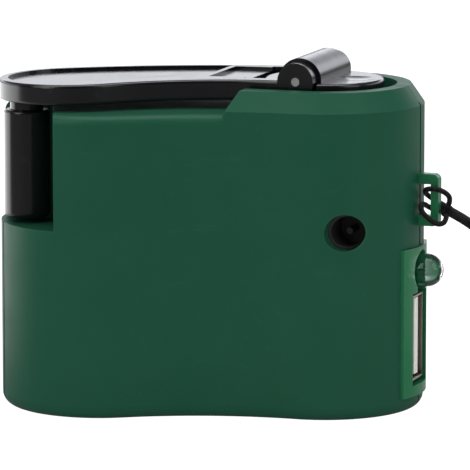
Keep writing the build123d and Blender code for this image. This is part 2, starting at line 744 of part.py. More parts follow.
def generator_can():
    can = post(CAN_RADIUS, CAN_BOTTOM + 1.2, CAN_TOP)
    can -= post(CAN_RADIUS - CAN_WALL, 0, CAN_TOP - CAN_WALL)
    can += post(3.2, CAN_TOP - 2.4, CAN_TOP + 0.8)
    return at_generator(can - post(2.2 + FIT, 0, 60))


def generator_end_cap():
    cap = post(CAN_RADIUS, CAN_BOTTOM, CAN_BOTTOM + 1.2)
    cap += tube(CAN_RADIUS - CAN_WALL - FIT, CAN_RADIUS - CAN_WALL - 1.2,
                CAN_BOTTOM + 1.2, CAN_BOTTOM + 2.4)
    cap += post(3.2, CAN_BOTTOM + 1.2, CAN_BOTTOM + 2.6)
    cap -= post(2.2 + FIT, CAN_BOTTOM + 0.6, 60)
    return at_generator(cap)


def generator_bearings():
    bore = ROTOR_SHAFT_RADIUS + RUN
    lower = tube(2.2, bore, CAN_BOTTOM + 0.6, CAN_BOTTOM + 2.6, -LOBE_SPAN, 0)
    upper = tube(2.2, bore, CAN_TOP - 2.4, CAN_TOP + 0.8, -LOBE_SPAN, 0)
    return [lower, upper]


def pole_bar(width, inner, outer, low, high, n):
    bar = block(inner, outer, -width / 2, width / 2, low, high)
    return Rot(0, 0, n * 360 / POLES) * bar


def stator_core():
    outer = CAN_RADIUS - CAN_WALL - 0.02
    core = tube(outer, outer - 1.3, STACK_LOW, STACK_HIGH)
    for n in range(POLES):
        core += pole_bar(2.2, MAGNET_RADIUS + 0.4, outer - 1.0, STACK_LOW, STACK_HIGH, n)
    return at_generator(core - post(MAGNET_RADIUS + 0.4, 0, 60))


def stator_windings():
    """One coil on each pole."""
    outer = CAN_RADIUS - CAN_WALL - 1.5
    coils = []
    for n in range(POLES):
        coil = pole_bar(4.0, MAGNET_RADIUS + 1.1, outer, STACK_LOW - 1.3, STACK_HIGH + 1.3, n)
        hole = pole_bar(2.2 + 2 * FIT, 0, 12, STACK_LOW - FIT, STACK_HIGH + FIT, n)
        coils.append(at_generator((coil - hole) & post(outer, 0, 60)))
    return coils


def rotor_magnet():
    bore = ROTOR_SHAFT_RADIUS + 0.02
    return tube(MAGNET_RADIUS, bore, STACK_LOW, STACK_HIGH, -LOBE_SPAN, 0)


def rotor_shaft():
    top = LEVELS[2] + GEAR_THICK + 0.6
    return post(ROTOR_SHAFT_RADIUS, CAN_BOTTOM + 0.7, top, -LOBE_SPAN, 0)


# ---- electrics, in lobe axes ----

def circuit_board():
    end = LOBE_RADIUS - WALL - BOARD_GAP
    return LOBE * block(BOARD_BACK, end, BOARD_V, BOARD_V + BOARD_THICK, BOARD_LOW, BOARD_HIGH)


def on_board(u, z, width, height, thick):
    """A component on the board's front face."""
    return LOBE * block(u - width / 2, u + width / 2, BOARD_V - thick, BOARD_V,
                        z - height / 2, z + height / 2)


def behind_board(u, z, width, height, thick):
    """A component on the board's back face."""
    face = BOARD_V + BOARD_THICK
    return LOBE * block(u - width / 2, u + width / 2, face, face + thick,
                        z - height / 2, z + height / 2)


def rectifier_diodes():
    return [on_board(u, z, 2.0, 1.3, 1.0) for u in (-3.6, -0.9) for z in (6.0, 11.0, 16.0)]


def smoothing_capacitor():
    face = BOARD_V + BOARD_THICK
    body = rod_v(3.15, face, face + 6.5, 1.0, 8.0)
    return LOBE * fillet(body.edges().group_by(Axis.Y)[-1], 0.4)


def regulator_chip():
    return behind_board(-3.2, 18.0, 5.0, 4.0, 1.5)


def choke():
    face = BOARD_V + BOARD_THICK
    return LOBE * rod_v(3.0, face, face + 3.0, 5.0, 19.0)


def usb_socket_shell():
    half = USB_DEPTH / 2
    low = USB_Z - USB_HEIGHT / 2
    high = USB_Z + USB_HEIGHT / 2
    back = USB_FRONT - USB_LENGTH
    shell = block(back, USB_FRONT, -half, half, low, high)
    shell -= block(back + USB_SHEET, USB_FRONT + 5, -half + USB_SHEET, half - USB_SHEET,
                   low + USB_SHEET, high - USB_SHEET)
    return LOBE * shell


def usb_tongue():
    """The insulator block at the back of the socket, with the tongue on it."""
    inner = USB_DEPTH / 2 - USB_SHEET - FIT
    half = USB_HEIGHT / 2 - USB_SHEET - FIT
    back = USB_FRONT - USB_LENGTH + USB_SHEET + FIT
    base = block(back, back + 3.0, -inner, inner, USB_Z - half, USB_Z + half)
    tongue = block(back, USB_FRONT - 0.4, -0.2, 1.6, USB_Z - 5.8, USB_Z + 5.8)
    return LOBE * (base + tongue)


def usb_contacts():
    back = USB_FRONT - USB_LENGTH + USB_SHEET + 3.0 + 2 * FIT
    strips = []
    for z in (-3.5, -1.0, 1.0, 3.5):
        strip = block(back, USB_FRONT - 2.0, -0.4, -0.22, USB_Z + z - 0.5, USB_Z + z + 0.5)
        strips.append(LOBE * strip)
    return strips


def led_lamp():
    foot = LAMP_DOME_U - LAMP_LENGTH
    lamp = rod_u(LAMP_RADIUS, foot, LAMP_DOME_U, 0, LAMP_Z)
    lamp += Pos(LAMP_DOME_U, 0, LAMP_Z) * Sphere(LAMP_RADIUS)
    lamp += rod_u(LAMP_RADIUS + 0.4, foot, foot + 1.0, 0, LAMP_Z)
    return LOBE * lamp


def lamp_leads():
    foot = LAMP_DOME_U - LAMP_LENGTH
    leads = []
    for z in (LAMP_Z - 1.27, LAMP_Z + 1.27):
        lead = block(foot - 3.0, foot, -0.25, 0.25, z - 0.25, z + 0.25)
        lead += block(foot - 3.0, foot - 2.5, -0.25, BOARD_V, z - 0.25, z + 0.25)
        leads.append(LOBE * lead)
    return leads


def dc_socket():
    """A barrel socket behind the round hole; its front follows the wall's inside."""
    body = rod_v(JACK_RADIUS, -LOBE_RADIUS - 1, -5.6, JACK_U, JACK_Z)
    body &= post(LOBE_RADIUS - WALL - FIT, 0, 60)
    body -= rod_v(JACK_OPENING, -30, -7.2, JACK_U, JACK_Z)
    return LOBE * body


def dc_socket_pin():
    return LOBE * rod_v(0.5, -10.4, -7.2, JACK_U, JACK_Z)


# ---- cords ----

def corner_radii(points):
    """Each arc takes 0.45 of the shorter run beside it."""
    radii = []
    for before, here, after in zip(points, points[1:], points[2:]):
        run = min((here - before).length, (after - here).length)
        turn = radians((here - before).get_angle(after - here))
        radii.append(0.45 * run / tan(turn / 2))
    return radii


def cord(name, points, thickness):
    """A round cord along straight runs joined by tangent arcs."""
    radii = corner_radii(points)
    path = FilletPolyline(*points, radius=radii)
    start = Plane(origin=path @ 0, z_dir=path % 0)
    solid = sweep(start * Circle(thickness / 2), path=path)
    expected = pi * thickness ** 2 / 4 * path.length
    print(name, "radii", [round(r, 1) for r in radii], "length", round(path.length, 1))
    print(name, "volume", round(solid.volume, 2), "section times length", round(expected, 2))
    return solid


def strand_points():
    """The thin loop: over the bar's front, through the gap and back round behind it."""
    route = [
        (4.4, -0.3, 31.2),
        (5.1, -0.7, 32.4),
        (4.5, -1.6, 33.6),
        (2.9, -1.75, 34.1),
        (1.3, -1.5, 33.9),
        (0.85, -0.2, 33.2),
        (1.0, 1.3, 32.4),
        (2.3, 1.75, 31.6),
        (3.8, 1.2, 31.0),
    ]
    return [lobe_point(LOBE_RADIUS + u, v, z) for u, v, z in route]


def second_strand_points():
    """The other strand: down, in front of the bar, a bight by the case, behind the bar."""
    route = [
        (4.4, -0.8, 30.1),
        (4.6, -1.7, 29.1),
        (3.5, -2.3, 28.7),
        (2.2, -2.7, 29.6),
        (1.2, -3.3, 30.8),
        (0.8, -2.3, 31.7),
        (0.95, -0.7, 31.5),
        (1.0, 0.9, 30.9),
        (2.2, 1.7, 30.2),
        (3.8, 0.8, 30.3),
    ]
    return [lobe_point(LOBE_RADIUS + u, v, z) for u, v, z in route]


def lanyard_strands():
    return [
        cord("lanyard_strand", strand_points(), STRAND),
        cord("lanyard_strand", second_strand_points(), STRAND),
    ]


COIL_START = Vector(58.5, -3.6, CORD / 2 + 0.05)
COIL_RADII = [10.0, 9.0, 8.0, 7.0]


def cord_points():
    """From the knot out of sight to the right and down to the surface."""
    knot = lobe_point(LOBE_RADIUS + KNOT_PROUD, -0.2, KNOT_Z)
    return [
        knot + Vector(0.9, -0.1, -0.3),
        Vector(39.4, -6.1, 28.7),
        Vector(42.7, -6.4, 25.3),
        Vector(44.7, -6.3, 20.3),
        Vector(45.8, -6.0, 14.7),
        Vector(46.8, -5.3, 9.2),
        Vector(48.9, -4.4, 4.4),
        Vector(53.2, -3.6, COIL_START.Z),
        COIL_START,
    ]


def lanyard_coil():
    """The rest of the cord, laid on the surface in a flat spiral of half turns."""
    edges = []
    x = COIL_START.X
    low = COIL_START.Y
    z = COIL_START.Z
    here = low
    length = 0
    for n, radius in enumerate(COIL_RADII):
        side = 1 if n % 2 == 0 else -1
        there = here + side * 2 * radius
        middle = (x + side * radius, (here + there) / 2, z)
        edges.append(ThreePointArc((x, here, z), middle, (x, there, z)))
        here = there
        length += pi * radius
    path = Wire(edges)
    start = Plane(origin=COIL_START, z_dir=(1, 0, 0))
    coil = sweep(start * Circle(CORD / 2), path=path)
    gap = 2 * (COIL_RADII[0] - COIL_RADII[1]) - CORD
    expected = pi * CORD ** 2 / 4 * length
    print("lanyard_coil length", round(length, 1), "gap to itself", round(gap, 2))
    print("lanyard_coil volume", round(coil.volume, 2), "section times length", round(expected, 2))
    return coil, Vector(x, here, z)


def lanyard_knots(end):
    knot = lobe_point(LOBE_RADIUS + KNOT_PROUD, -0.2, KNOT_Z)
    return [
        Pos(knot) * Sphere(1.15),
        Pos(end + Vector(-0.8, 0, 0.65)) * Sphere(1.35),
    ]


def save(name, *solids):
    shape = solids[0] if len(solids) == 1 else Compound(children=list(solids))
    export_step(shape, f"parts/{name}.step")


def main():
    os.makedirs("parts", exist_ok=True)
    front_shell, rear_shell = case_shells()
    bezel_front, bezel_rear = port_bezels()
    coil, coil_end = lanyard_coil()
    save("front_shell", front_shell)
    save("rear_shell", rear_shell)
    save("port_bezel_front", bezel_front)
    save("port_bezel_rear", bezel_rear)
    save("lanyard_loop", lanyard_loop())
    save("case_screws", *case_screws())
    save("crank_hub", crank_hub())
    save("hinge_pin", hinge_pin())
    save("crank_arm", crank_arm())
    save("crank_knob", crank_knob())
    save("knob_screw", knob_screw())
    save("shaft_bush", shaft_bush())
    save("drive_shaft", drive_shaft())
    save("retaining_clip", retaining_clip())
    save("drive_gear", drive_gear())
    save("idler_gear_1", idler_gear_1())
    save("idler_gear_2", idler_gear_2())
    save("generator_pinion", generator_pinion())
    save("gearbox_base_plate", gearbox_base_plate())
    save("gearbox_top_plate", gearbox_top_plate())
    save("gearbox_screws", *gearbox_screws())
    save("idler_axles", *idler_axles())
    save("generator_can", generator_can())
    save("generator_end_cap", generator_end_cap())
    save("generator_bearings", *generator_bearings())
    save("stator_core", stator_core())
    save("stator_windings", *stator_windings())
    save("rotor_magnet", rotor_magnet())
    save("rotor_shaft", rotor_shaft())
    save("circuit_board", circuit_board())
    save("rectifier_diodes", *rectifier_diodes())
    save("smoothing_capacitor", smoothing_capacitor())
    save("regulator_chip", regulator_chip())
    save("choke", choke())
    save("usb_socket_shell", usb_socket_shell())
    save("usb_tongue", usb_tongue())
    save("usb_contacts", *usb_contacts())
    save("led_lamp", led_lamp())
    save("lamp_leads", *lamp_leads())
    save("dc_socket", dc_socket())
    save("dc_socket_pin", dc_socket_pin())
    save("lanyard_strands", *lanyard_strands())
    save("lanyard_cord", cord("lanyard_cord", cord_points(), CORD))
    save("lanyard_coil", coil)
    save("lanyard_knots", *lanyard_knots(coil_end))


main()
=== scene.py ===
import bpy
import bmesh
from math import sin, cos, pi, radians
from mathutils import Vector, Matrix


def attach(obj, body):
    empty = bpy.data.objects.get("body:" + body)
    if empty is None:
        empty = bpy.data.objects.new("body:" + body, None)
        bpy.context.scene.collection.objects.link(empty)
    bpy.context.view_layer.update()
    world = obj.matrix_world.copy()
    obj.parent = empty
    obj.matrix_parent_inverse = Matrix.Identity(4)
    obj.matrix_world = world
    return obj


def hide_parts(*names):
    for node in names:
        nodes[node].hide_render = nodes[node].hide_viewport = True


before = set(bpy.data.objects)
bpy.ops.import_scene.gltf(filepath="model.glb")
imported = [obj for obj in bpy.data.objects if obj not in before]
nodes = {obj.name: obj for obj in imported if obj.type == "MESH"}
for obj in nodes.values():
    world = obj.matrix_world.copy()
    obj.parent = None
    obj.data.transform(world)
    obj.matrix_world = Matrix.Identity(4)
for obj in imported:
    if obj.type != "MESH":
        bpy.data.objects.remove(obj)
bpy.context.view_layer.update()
scene = bpy.context.scene

mm = 0.001
lobeSpan = 16.9
lobeTurn = radians(16.5)


def lobePoint(u, v, z):  # from millimetres along the right lobe's own axes to metres
    return Vector((
        (lobeSpan + u * cos(lobeTurn) + v * sin(lobeTurn)) * mm,
        (v * cos(lobeTurn) - u * sin(lobeTurn)) * mm,
        z * mm,
    ))


view = {
    "azimuth": 2.5, "elevation": 9.3, "distance": 0.7, "target": (0.0034, 0, 0.02575), "lens": 353.9,
    "sensor": 36, "nearClip": 0.05}


def makeCamera(v):
    cameraData = bpy.data.cameras.new("camera")
    cameraData.lens = v["lens"]
    cameraData.sensor_width = v["sensor"]
    cameraData.clip_start = v["nearClip"]
    camera = bpy.data.objects.new("camera", cameraData)
    scene.collection.objects.link(camera)
    a, e = radians(v["azimuth"]), radians(v["elevation"])
    offset = Vector((sin(a) * cos(e), -cos(a) * cos(e), sin(e))) * v["distance"]
    camera.location = Vector(v["target"]) + offset
    camera.rotation_euler = (-offset).to_track_quat("-Z", "Y").to_euler()
    scene.camera = camera


makeCamera(view)
print("camera set")


# helpers for node trees: addNode gives the node, the others its output socket
def addNode(tree, kind, links=(), **settings):  # links: (input name or number, output socket or value)
    node = tree.nodes.new(kind)
    for key, value in settings.items():
        setattr(node, key, value)
    for target, source in links:
        if isinstance(source, bpy.types.NodeSocket):
            tree.links.new(source, node.inputs[target])
        else:
            node.inputs[target].default_value = source
    return node


def mathOf(tree, operation, first, second):
    return addNode(tree, "ShaderNodeMath", [(0, first), (1, second)], operation=operation).outputs[0]


def sumOf(tree, first, second):
    return mathOf(tree, "ADD", first, second)


def timesOf(tree, first, second):
    return mathOf(tree, "MULTIPLY", first, second)


def largerOf(tree, first, second):
    return mathOf(tree, "MAXIMUM", first, second)


def rangeOf(tree, value, source, target=(0.0, 1.0), **settings):  # source and target: (low, high)
    links = [(0, value), (1, source[0]), (2, source[1]), (3, target[0]), (4, target[1])]
    return addNode(tree, "ShaderNodeMapRange", links, **settings).outputs[0]


def noiseOf(tree, place, scale, detail=2.0, roughness=0.5, distortion=0.0):
    links = [("Vector", place), ("Scale", scale), ("Detail", detail), ("Roughness", roughness),
             ("Distortion", distortion)]
    return addNode(tree, "ShaderNodeTexNoise", links).outputs["Fac"]


def waveOf(tree, place, direction, scale, distortion):
    links = [("Vector", place), ("Scale", scale), ("Distortion", distortion), ("Detail", 1.0)]
    return addNode(tree, "ShaderNodeTexWave", links, bands_direction=direction).outputs["Fac"]


def placeOn(tree, output="Object"):
    return addNode(tree, "ShaderNodeTexCoord").outputs[output]


def stretched(tree, place, stretch, turn=(0, 0, 0)):
    links = [("Vector", place), ("Rotation", turn), ("Scale", stretch)]
    return addNode(tree, "ShaderNodeMapping", links).outputs[0]


def colourMix(tree, factor, low, high):
    return addNode(tree, "ShaderNodeMix", [(0, factor), (6, low), (7, high)], data_type="RGBA").outputs[2]


# effects that several finishes share, each a node group with plain numbers in and out
def groupOf(name, inputs, outputs):
    group = bpy.data.node_groups.new(name, "ShaderNodeTree")
    for label, value in inputs.items():
        socket = group.interface.new_socket(name=label, in_out="INPUT", socket_type="NodeSocketFloat")
        socket.default_value = value
    for label in outputs:
        group.interface.new_socket(name=label, in_out="OUTPUT", socket_type="NodeSocketFloat")
    start = group.nodes.new("NodeGroupInput")
    end = group.nodes.new("NodeGroupOutput")
    return group, start.outputs, end.inputs


def mouldGrainGroup():  # fine spark-eroded texture, with a slow unevenness
    group, given, result = groupOf("mouldGrain", {"Size": 0.25, "Unevenness": 0.3}, ["Height", "Patch"])
    place = placeOn(group)
    perMetre = mathOf(group, "DIVIDE", 1 / mm, given["Size"])
    fine = noiseOf(group, place, scale=perMetre, detail=3.0, roughness=0.6)
    slow = noiseOf(group, place, scale=140.0, detail=4.0, roughness=0.55)
    patch = mathOf(group, "SUBTRACT", slow, 0.5)
    group.links.new(fine, result["Height"])
    group.links.new(timesOf(group, patch, given["Unevenness"]), result["Patch"])
    return group


def edgeWearAndHighlightGroup():  # where edges are made paler: rubbed wear, and a painted highlight along them
    group, given, result = groupOf("edgeWearAndHighlight", {"Radius": 0.0004, "Amount": 0.6}, ["Mask"])
    rounded = addNode(group, "ShaderNodeBevel", [("Radius", given["Radius"])], samples=4)
    plain = addNode(group, "ShaderNodeNewGeometry")
    along = addNode(group, "ShaderNodeVectorMath", [
        (0, rounded.outputs[0]), (1, plain.outputs["Normal"])], operation="DOT_PRODUCT")
    edge = rangeOf(group, along.outputs["Value"], source=(0.995, 0.86))
    broken = noiseOf(group, placeOn(group), scale=420.0, detail=5.0, roughness=0.7)
    patchy = rangeOf(group, broken, source=(0.4, 0.65), target=(0.15, 1.0))
    wornAndHighlit = timesOf(group, edge, patchy)
    group.links.new(timesOf(group, wornAndHighlit, given["Amount"]), result["Mask"])
    return group


scratchRuns = [
    {"turn": (0.3, 0.2, 0.5), "stretch": (60, 2400, 700)},
    {"turn": (0.3, 0.2, 0.8), "stretch": (90, 2600, 500)},
]


def handlingMarksGroup():  # hairline scratches in two near directions, and faint smudges
    group, given, result = groupOf(
        "handlingMarks", {"Scratches": 0.3, "Smudges": 0.3}, ["Scratch", "Smudge"])
    place = placeOn(group)
    hairlines = []
    for run in scratchRuns:
        streaks = noiseOf(group, stretched(group, place, **run), scale=1.0, detail=2.0, roughness=0.5)
        hairlines.append(rangeOf(group, streaks, source=(0.68, 0.74)))
    cloud = noiseOf(group, place, scale=95.0, detail=6.0, roughness=0.6, distortion=0.8)
    patch = rangeOf(group, cloud, source=(0.42, 0.7))
    group.links.new(timesOf(group, largerOf(group, *hairlines), given["Scratches"]), result["Scratch"])
    group.links.new(timesOf(group, patch, given["Smudges"]), result["Smudge"])
    return group


def settledDustGroup():  # thin pale dust on what faces up
    group, given, result = groupOf("settledDust", {"Amount": 0.2}, ["Mask"])
    facing = addNode(group, "ShaderNodeSeparateXYZ", [(0, placeOn(group, "Normal"))])
    upward = rangeOf(group, facing.outputs["Z"], source=(0.4, 1.0))
    specks = noiseOf(group, placeOn(group), scale=1700.0, detail=4.0, roughness=0.75)
    fine = rangeOf(group, specks, source=(0.5, 0.75), target=(0.1, 1.0))
    settled = timesOf(group, upward, fine)
    group.links.new(timesOf(group, settled, given["Amount"]), result["Mask"])
    return group


mouldGrain = mouldGrainGroup()
edgeWearAndHighlight = edgeWearAndHighlightGroup()
handlingMarks = handlingMarksGroup()
settledDust = settledDustGroup()
print("shared effects built")


def newMaterial(name):
    material = bpy.data.materials.new(name)
    material.use_nodes = True
    tree = material.node_tree
    return material, tree, tree.nodes["Principled BSDF"]


def shade(colour, factor):
    return [min(1, c * factor) for c in colour[:3]] + [1]


def useGroup(tree, group, **values):
    node = addNode(tree, "ShaderNodeGroup")
    node.node_tree = group
    for key, value in values.items():
        node.inputs[key].default_value = value
    return node.outputs


def setRelief(tree, shader, height, strength, depth):
    links = [("Height", height), ("Strength", strength), ("Distance", depth)]
    tree.links.new(addNode(tree, "ShaderNodeBump", links).outputs[0], shader.inputs["Normal"])


# what wear and the painted edge highlight do on every moulded plastic; a scratch's height is a multiple of
# the grain's
mouldedWearAndHighlight = {
    "dustColour": (0.42, 0.41, 0.38, 1), "edgeRadius": 0.0004, "patchPaler": 1.1, "patchDarker": 0.9,
    "patchRough": 0.3, "smudgeRough": 0.25, "scratchRough": 0.2, "scratchHeight": -1.5,
    "reliefDepth": 0.00004}


def mouldedPlastic(name, colour, paler, roughness, grain, unevenness, bump, wearAndHighlight, scratches, smudges, dust,
                   coat=0.0, coatRoughness=0.1, specular=0.5):
    w = mouldedWearAndHighlight
    material, tree, shader = newMaterial(name)
    texture = useGroup(tree, mouldGrain, Size=grain, Unevenness=unevenness)
    rubbedAndHighlit = useGroup(tree, edgeWearAndHighlight, Radius=w["edgeRadius"], Amount=wearAndHighlight)
    marks = useGroup(tree, handlingMarks, Scratches=scratches, Smudges=smudges)
    film = useGroup(tree, settledDust, Amount=dust)
    patchy = sumOf(tree, texture["Patch"], 0.5)
    plain = colourMix(tree, patchy, shade(colour, w["patchDarker"]), shade(colour, w["patchPaler"]))
    # edges paler: rubbed wear, with a painted highlight along them
    wornAndHighlit = colourMix(tree, rubbedAndHighlit["Mask"], plain, paler)
    scratched = colourMix(tree, marks["Scratch"], wornAndHighlit, paler)
    dusted = colourMix(tree, film["Mask"], scratched, w["dustColour"])
    tree.links.new(dusted, shader.inputs["Base Color"])
    rough = sumOf(tree, timesOf(tree, texture["Patch"], w["patchRough"]), roughness)
    rough = sumOf(tree, rough, timesOf(tree, marks["Smudge"], w["smudgeRough"]))
    rough = sumOf(tree, rough, timesOf(tree, marks["Scratch"], w["scratchRough"]))
    tree.links.new(rough, shader.inputs["Roughness"])
    height = sumOf(tree, texture["Height"], timesOf(tree, marks["Scratch"], w["scratchHeight"]))
    setRelief(tree, shader, height, bump, w["reliefDepth"])
    shader.inputs["Specular IOR Level"].default_value = specular
    shader.inputs["Coat Weight"].default_value = coat
    shader.inputs["Coat Roughness"].default_value = coatRoughness
    return material


plastics = {
    "caseGreen": {
        "colour": (0.0068, 0.068, 0.037, 1), "paler": (0.03, 0.14, 0.085, 1), "roughness": 0.42,
        "grain": 0.16, "unevenness": 0.6, "bump": 0.35, "wearAndHighlight": 0.5, "scratches": 0.06, "smudges": 0.25,
        "dust": 0.02, "specular": 0.16},
    "trimGreen": {
        "colour": (0.011, 0.13, 0.052, 1), "paler": (0.06, 0.24, 0.13, 1), "roughness": 0.3,
        "grain": 0.3, "unevenness": 0.4, "bump": 0.12, "wearAndHighlight": 0.5, "scratches": 0.1, "smudges": 0.2,
        "dust": 0.02, "specular": 0.24},
    "crankBlack": {
        "colour": (0.0045, 0.0045, 0.006, 1), "paler": (0.05, 0.05, 0.055, 1), "roughness": 0.23,
        "grain": 0.8, "unevenness": 0.15, "bump": 0.03, "wearAndHighlight": 0.35, "scratches": 0.12, "smudges": 0.18,
        "dust": 0.02, "coat": 0.25, "coatRoughness": 0.08},
    "nylonWhite": {
        "colour": (0.78, 0.77, 0.72, 1), "paler": (0.9, 0.89, 0.86, 1), "roughness": 0.42,
        "grain": 0.4, "unevenness": 0.3, "bump": 0.1, "wearAndHighlight": 0.2, "scratches": 0.05, "smudges": 0.1,
        "dust": 0.0},
    "hiddenBlack": {
        "colour": (0.018, 0.018, 0.019, 1), "paler": (0.07, 0.07, 0.07, 1), "roughness": 0.45,
        "grain": 0.25, "unevenness": 0.4, "bump": 0.25, "wearAndHighlight": 0.4, "scratches": 0.1, "smudges": 0.2,
        "dust": 0.05},
    "sleeveBlue": {
        "colour": (0.012, 0.014, 0.045, 1), "paler": (0.08, 0.09, 0.14, 1), "roughness": 0.28,
        "grain": 0.6, "unevenness": 0.3, "bump": 0.06, "wearAndHighlight": 0.3, "scratches": 0.05, "smudges": 0.1,
        "dust": 0.0, "coat": 0.3},
}


# patterns are scaled per metre along x, y and z, and stains take away from the shine
drawnLines = (9000, 9000, 200)  # upright lines
turnedRings = (200, 200, 9000)  # rings round an upright axis
# edges are made brighter: rubbed wear, with a painted highlight along them
metalWearAndHighlight = {
    "edgeRadius": 0.0002, "edgeAmount": 0.7, "edgeBrighter": 1.25, "stainDepth": 0.8, "stainRough": 0.12,
    "lineRough": 0.18, "reliefDepth": 0.00002}


def metal(name, colour, darker, roughness, brushed, pattern=drawnLines):
    w = metalWearAndHighlight
    material, tree, shader = newMaterial(name)
    place = placeOn(tree)
    lines = noiseOf(tree, stretched(tree, place, pattern), scale=1.0, detail=3.0, roughness=0.6)
    cloud = noiseOf(tree, place, scale=260.0, detail=4.0, roughness=0.6)
    rubbedAndHighlit = useGroup(tree, edgeWearAndHighlight, Radius=w["edgeRadius"], Amount=w["edgeAmount"])
    stained = rangeOf(tree, cloud, source=(0.4, 0.75), target=(0.0, w["stainDepth"]))
    plain = colourMix(tree, stained, colour, darker)
    # painted highlight and rubbed wear on the edges
    bright = colourMix(tree, rubbedAndHighlit["Mask"], plain, shade(colour, w["edgeBrighter"]))
    tree.links.new(bright, shader.inputs["Base Color"])
    rough = sumOf(tree, timesOf(tree, lines, w["lineRough"]), roughness - w["lineRough"] / 2)
    rough = sumOf(tree, rough, timesOf(tree, stained, w["stainRough"]))
    tree.links.new(rough, shader.inputs["Roughness"])
    setRelief(tree, shader, lines, brushed, w["reliefDepth"])
    shader.inputs["Metallic"].default_value = 1.0
    return material


metals = {
    "pinEnd": {
        "colour": (0.85, 0.85, 0.86, 1), "darker": (0.6, 0.6, 0.6, 1), "roughness": 0.55, "brushed": 0.3},
    "pinSteel": {
        "colour": (0.62, 0.62, 0.63, 1), "darker": (0.4, 0.4, 0.41, 1), "roughness": 0.28, "brushed": 0.3},
    # the socket's pin, near black: painted shade deep in the bore
    "shadedPin": {
        "colour": (0.09, 0.09, 0.09, 1), "darker": (0.04, 0.04, 0.04, 1), "roughness": 0.4, "brushed": 0.2},
    "screwSteel": {
        "colour": (0.5, 0.5, 0.5, 1), "darker": (0.28, 0.28, 0.28, 1), "roughness": 0.33, "brushed": 0.4,
        "pattern": turnedRings},
    "socketTin": {
        "colour": (0.42, 0.36, 0.31, 1), "darker": (0.28, 0.23, 0.19, 1), "roughness": 0.3, "brushed": 0.2},
    "canZinc": {
        "colour": (0.52, 0.53, 0.54, 1), "darker": (0.36, 0.37, 0.38, 1), "roughness": 0.38, "brushed": 0.3,
        "pattern": turnedRings},
    "bushBronze": {
        "colour": (0.55, 0.33, 0.13, 1), "darker": (0.3, 0.17, 0.07, 1), "roughness": 0.36, "brushed": 0.3,
        "pattern": turnedRings},
    "contactGold": {
        "colour": (0.75, 0.52, 0.2, 1), "darker": (0.55, 0.36, 0.14, 1), "roughness": 0.24, "brushed": 0.2},
    "coreIron": {
        "colour": (0.2, 0.2, 0.21, 1), "darker": (0.1, 0.1, 0.1, 1), "roughness": 0.5, "brushed": 0.6,
        "pattern": turnedRings},
}


board = {
    "resist": (0.009, 0.085, 0.03, 1), "track": (0.03, 0.19, 0.06, 1), "tracksPerMetre": 380.0,
    "weavePerMetre": 2600.0, "roughness": 0.24, "weaveRough": 0.15, "weaveHeight": 0.4, "bump": 0.3,
    "reliefDepth": 0.00003}


def boardLaminate(name, c):  # solder resist with faint tracks under it
    material, tree, shader = newMaterial(name)
    place = placeOn(tree)
    cells = addNode(tree, "ShaderNodeTexVoronoi", [("Vector", place), ("Scale", c["tracksPerMetre"])],
                    feature="DISTANCE_TO_EDGE")
    track = rangeOf(tree, cells.outputs["Distance"], source=(0.05, 0.09), target=(1.0, 0.0))
    weave = noiseOf(tree, place, scale=c["weavePerMetre"])
    tree.links.new(colourMix(tree, track, c["resist"], c["track"]), shader.inputs["Base Color"])
    rough = sumOf(tree, timesOf(tree, weave, c["weaveRough"]), c["roughness"])
    tree.links.new(rough, shader.inputs["Roughness"])
    height = sumOf(tree, track, timesOf(tree, weave, c["weaveHeight"]))
    setRelief(tree, shader, height, c["bump"], c["reliefDepth"])
    return material


winding = {
    "between": (0.22, 0.055, 0.02, 1), "wire": (0.62, 0.2, 0.08, 1), "ridgeScale": 900.0, "waviness": 0.6,
    "roughness": 0.32, "ridgeRough": -0.1, "metallic": 0.9, "enamel": 0.4, "bump": 0.8,
    "reliefDepth": 0.0001}


def windingWire(name, c):  # enamelled wire, seen as fine ridges, with painted shade in the grooves between them
    material, tree, shader = newMaterial(name)
    ridges = waveOf(tree, placeOn(tree), "Z", c["ridgeScale"], c["waviness"])
    tree.links.new(colourMix(tree, ridges, c["between"], c["wire"]), shader.inputs["Base Color"])
    rough = sumOf(tree, timesOf(tree, ridges, c["ridgeRough"]), c["roughness"])
    tree.links.new(rough, shader.inputs["Roughness"])
    setRelief(tree, shader, ridges, c["bump"], c["reliefDepth"])
    shader.inputs["Metallic"].default_value = c["metallic"]
    shader.inputs["Coat Weight"].default_value = c["enamel"]
    return material


lampLens = {
    "colour": (0.93, 0.97, 0.96, 1), "refraction": 1.5, "ripplesPerMetre": 700.0, "rippleRough": 0.04,
    "bump": 0.12, "reliefDepth": 0.00003}


def clearEpoxy(name, c):  # the lamp's lens: clear, with a slightly uneven cast surface
    material, tree, shader = newMaterial(name)
    ripple = noiseOf(tree, placeOn(tree), scale=c["ripplesPerMetre"])
    setRelief(tree, shader, ripple, c["bump"], c["reliefDepth"])
    tree.links.new(timesOf(tree, ripple, c["rippleRough"]), shader.inputs["Roughness"])
    shader.inputs["Base Color"].default_value = c["colour"]
    shader.inputs["Transmission Weight"].default_value = 1.0
    shader.inputs["IOR"].default_value = c["refraction"]
    return material


braid = {
    "hollow": (0.0008, 0.0008, 0.001, 1), "crown": (0.011, 0.0105, 0.012, 1), "roundScale": 5.0,
    "strandScale": 0.32, "waviness": 0.4, "fuzzPerMetre": 5200.0, "strandShare": 0.7, "fuzzShare": 0.3,
    "roughness": 0.55, "fuzzRough": 0.2, "bump": 0.7, "reliefDepth": 0.00012, "specular": 0.2,
    "sheen": 0.06, "sheenRoughness": 0.4}
lengthScales = {"cordBraid": 150.0, "strandTwist": 22.0}  # the braid's scale along a whole cord


